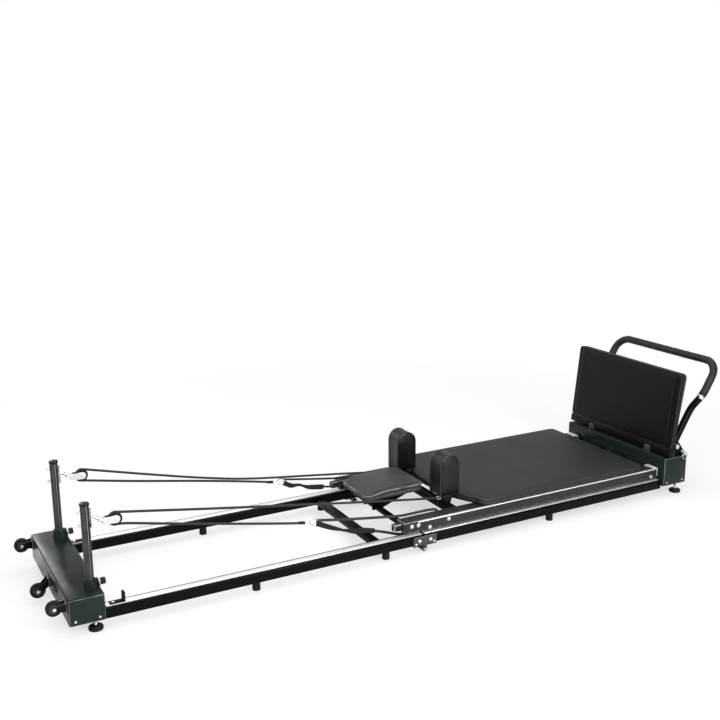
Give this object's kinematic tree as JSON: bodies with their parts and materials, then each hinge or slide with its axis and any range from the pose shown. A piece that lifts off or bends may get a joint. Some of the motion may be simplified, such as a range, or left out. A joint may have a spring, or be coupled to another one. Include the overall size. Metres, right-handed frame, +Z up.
{
  "type": "folding pilates reformer",
  "caption": "Folding pilates reformer with a rolling padded carriage, springs, foot bar, jump board and rope pulleys",
  "frame": {"origin": "middle of the footprint, on the floor", "axes": "+X points to the foot end with the foot bar, +Y to the far side, +Z up"},
  "size_m": [2.6196, 0.59, 0.522],
  "materials": {
    "box_paint": "glossy dark green-grey",
    "black_steel": "satin black",
    "beam_grey": "satin charcoal",
    "chrome": "polished",
    "upholstery": "fine grained cover",
    "board_cover": "fine grained cover",
    "rubber": "matt",
    "plastic": "satin",
    "plywood": "stained black",
    "rope": "woven"
  },
  "bodies": {
    "foot_frame": {"foot_box": "box_paint", "foot_rail_near": "black_steel", "foot_rail_far": "black_steel", "foot_disc_near": "rubber", "foot_disc_far": "rubber", "spring_bar": "chrome", "bar_bracket_near": "black_steel", "bar_bracket_far": "black_steel", "board_hinge_near": "black_steel", "board_hinge_far": "black_steel", "spring_1": "chrome", "spring_2": "chrome", "spring_3": "chrome", "spring_4": "chrome", "spring_5": "chrome"},
    "head_frame": {"head_box": "box_paint", "head_rail_near": "black_steel", "head_rail_far": "black_steel", "hinge_leaf_near": "beam_grey", "hinge_leaf_far": "beam_grey", "head_disc_near": "rubber", "head_disc_far": "rubber", "post_near": "chrome", "post_far": "chrome", "pulley_block_near": "chrome", "pulley_block_far": "chrome", "crossbar_head": "black_steel", "caster_fork_near": "black_steel", "caster_fork_middle": "black_steel", "caster_fork_far": "black_steel", "rope_near": "rope", "rope_far": "rope", "hand_loop_near": "rope", "hand_loop_far": "rope"},
    "carriage": {"carriage_beam_near": "beam_grey", "carriage_beam_far": "beam_grey", "headrest_crossbar": "black_steel", "shoulder_crossbar": "black_steel", "spring_crossbar": "black_steel", "mat_board": "plywood", "mat": "upholstery", "shoulder_pad_near": "upholstery", "shoulder_pad_far": "upholstery"},
    "headrest": {"headrest_pad": "upholstery"},
    "jump_board": {"jump_board": "board_cover"},
    "foot_bar": {"foot_bar": "rubber"},
    "lock_pin": {"lock_pin": "chrome"},
    "lock_knob_near": {"lock_knob_near": "plastic"},
    "lock_knob_far": {"lock_knob_far": "plastic"},
    "post_knob_near": {"post_knob_near": "plastic"},
    "post_knob_far": {"post_knob_far": "plastic"},
    "pulley_sheave_near": {"pulley_sheave_near": "plastic"},
    "pulley_sheave_far": {"pulley_sheave_far": "plastic"},
    "carriage_wheel_head_near": {"carriage_wheel_head_near": "plastic"},
    "carriage_wheel_head_far": {"carriage_wheel_head_far": "plastic"},
    "carriage_wheel_foot_near": {"carriage_wheel_foot_near": "plastic"},
    "carriage_wheel_foot_far": {"carriage_wheel_foot_far": "plastic"},
    "caster_wheel_near": {"caster_wheel_near": "rubber"},
    "caster_wheel_middle": {"caster_wheel_middle": "rubber"},
    "caster_wheel_far": {"caster_wheel_far": "rubber"}
  },
  "joints": [
    {"name": "frame_fold", "type": "hinge", "parent": "foot_frame", "child": "head_frame", "pos_m": [-0.05, 0, 0.015], "axis": [0, -1, 0], "range_deg": [0, 180]},
    {"name": "carriage_slide", "type": "slide", "parent": "foot_frame", "child": "carriage", "axis": [-1, 0, 0], "range_m": [0, 0.9], "stiffness_N_per_m": 150, "springref_m": -0.05, "deforming": ["spring_1", "spring_2", "spring_3", "spring_4", "spring_5", "rope_near", "hand_loop_near", "rope_far", "hand_loop_far"]},
    {"name": "headrest_tilt", "type": "hinge", "parent": "carriage", "child": "headrest", "pos_m": [0.038, 0, 0.14], "axis": [0, 1, 0], "range_deg": [0, 35]},
    {"name": "jump_board_fold", "type": "hinge", "parent": "foot_frame", "child": "jump_board", "pos_m": [1.067, 0, 0.172], "axis": [0, -1, 0], "range_deg": [0, 96.3]},
    {"name": "foot_bar_fold", "type": "hinge", "parent": "foot_frame", "child": "foot_bar", "pos_m": [1.108, 0, 0.192], "axis": [0, -1, 0], "range_deg": [0, 104]},
    {"name": "lock_pin_pull", "type": "slide", "parent": "foot_frame", "child": "lock_pin", "axis": [0, -1, 0], "range_m": [0, 0.02], "stiffness_N_per_m": 120, "springref_m": -0.01},
    {"name": "lock_knob_pull_near", "type": "slide", "parent": "carriage", "child": "lock_knob_near", "axis": [0, 1, 0], "range_m": [0, 0.01], "stiffness_N_per_m": 120, "springref_m": -0.005},
    {"name": "post_knob_turn_near", "type": "hinge", "parent": "head_frame", "child": "post_knob_near", "pos_m": [-1.14, -0.211, 0.125], "axis": [1, 0, 0], "continuous": true},
    {"name": "pulley_spin_near", "type": "hinge", "parent": "head_frame", "child": "pulley_sheave_near", "pos_m": [-1.083, -0.211, 0.313], "axis": [0, 1, 0], "continuous": true},
    {"name": "wheel_roll_head_near", "type": "hinge", "parent": "carriage", "child": "carriage_wheel_head_near", "pos_m": [-0.022, -0.24, 0.085], "axis": [0, -1, 0], "continuous": true},
    {"name": "wheel_roll_foot_near", "type": "hinge", "parent": "carriage", "child": "carriage_wheel_foot_near", "pos_m": [0.991, -0.24, 0.085], "axis": [0, -1, 0], "continuous": true},
    {"name": "lock_knob_pull_far", "type": "slide", "parent": "carriage", "child": "lock_knob_far", "axis": [0, -1, 0], "range_m": [0, 0.01], "stiffness_N_per_m": 120, "springref_m": -0.005},
    {"name": "post_knob_turn_far", "type": "hinge", "parent": "head_frame", "child": "post_knob_far", "pos_m": [-1.14, 0.211, 0.125], "axis": [1, 0, 0], "continuous": true},
    {"name": "pulley_spin_far", "type": "hinge", "parent": "head_frame", "child": "pulley_sheave_far", "pos_m": [-1.083, 0.211, 0.313], "axis": [0, 1, 0], "continuous": true},
    {"name": "wheel_roll_head_far", "type": "hinge", "parent": "carriage", "child": "carriage_wheel_head_far", "pos_m": [-0.022, 0.24, 0.085], "axis": [0, -1, 0], "continuous": true},
    {"name": "wheel_roll_foot_far", "type": "hinge", "parent": "carriage", "child": "carriage_wheel_foot_far", "pos_m": [0.991, 0.24, 0.085], "axis": [0, -1, 0], "continuous": true},
    {"name": "caster_roll_near", "type": "hinge", "parent": "head_frame", "child": "caster_wheel_near", "pos_m": [-1.286, -0.251, 0.091], "axis": [0, 1, 0], "continuous": true},
    {"name": "caster_roll_middle", "type": "hinge", "parent": "head_frame", "child": "caster_wheel_middle", "pos_m": [-1.286, 0, 0.038], "axis": [0, 1, 0], "continuous": true},
    {"name": "caster_roll_far", "type": "hinge", "parent": "head_frame", "child": "caster_wheel_far", "pos_m": [-1.286, 0.251, 0.091], "axis": [0, 1, 0], "continuous": true}
  ],
  "couplings": [
    {"joint": "foot_bar_fold", "follows": "jump_board_fold", "ratio": 1.05},
    {"joint": "wheel_roll_head_near", "follows": "carriage_slide", "rad_per_m": 56.497},
    {"joint": "wheel_roll_foot_near", "follows": "carriage_slide", "rad_per_m": 56.497},
    {"joint": "wheel_roll_head_far", "follows": "carriage_slide", "rad_per_m": 56.497},
    {"joint": "wheel_roll_foot_far", "follows": "carriage_slide", "rad_per_m": 56.497}
  ]
}
